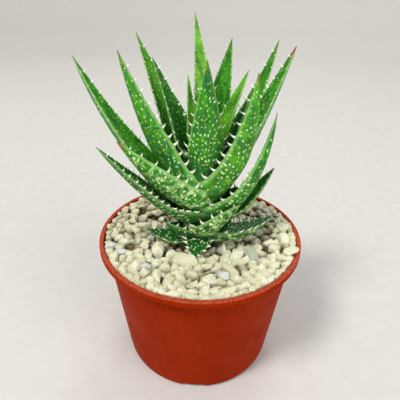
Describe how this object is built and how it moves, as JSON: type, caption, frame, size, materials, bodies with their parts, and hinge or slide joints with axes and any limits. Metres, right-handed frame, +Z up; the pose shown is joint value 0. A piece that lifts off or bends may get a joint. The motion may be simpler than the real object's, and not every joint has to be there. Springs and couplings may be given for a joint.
{
  "type": "potted succulent plant",
  "caption": "Spiny succulent rosette: narrow channelled leaves with toothed margins on a short stem, standing in gravel-topped potting mix in a round tapered plastic pot with a flanged lip.",
  "frame": {"origin": "centre of the pot's flat underside, on the surface that it stands on", "axes": "+Z up along the pot's axis; -Y is the front, the side the picture shows; +X to the viewer's right"},
  "size_m": [0.1065, 0.105, 0.175],
  "materials": {
    "pot_plastic": "thin satin moulded plastic, terracotta colour",
    "potting_mix": null,
    "gravel_stone": null,
    "stem_tissue": null,
    "leaf_tissue": null
  },
  "bodies": {
    "root": {"pot": "pot_plastic", "potting_mix": "potting_mix", "gravel": "gravel_stone", "stem": "stem_tissue", "leaf_01": "leaf_tissue", "leaf_02": "leaf_tissue", "leaf_03": "leaf_tissue", "leaf_04": "leaf_tissue", "leaf_05": "leaf_tissue", "leaf_06": "leaf_tissue", "leaf_07": "leaf_tissue", "leaf_08": "leaf_tissue", "leaf_09": "leaf_tissue", "leaf_10": "leaf_tissue", "leaf_11": "leaf_tissue", "leaf_12": "leaf_tissue", "leaf_13": "leaf_tissue", "leaf_14": "leaf_tissue", "leaf_15": "leaf_tissue", "leaf_16": "leaf_tissue", "leaf_17": "leaf_tissue", "leaf_18": "leaf_tissue", "leaf_19": "leaf_tissue", "leaf_20": "leaf_tissue", "leaf_21": "leaf_tissue", "leaf_22": "leaf_tissue", "leaf_23": "leaf_tissue", "leaf_24": "leaf_tissue", "leaf_25": "leaf_tissue", "leaf_26": "leaf_tissue", "leaf_27": "leaf_tissue", "leaf_28": "leaf_tissue", "leaf_29": "leaf_tissue", "leaf_30": "leaf_tissue"}
  },
  "joints": []
}
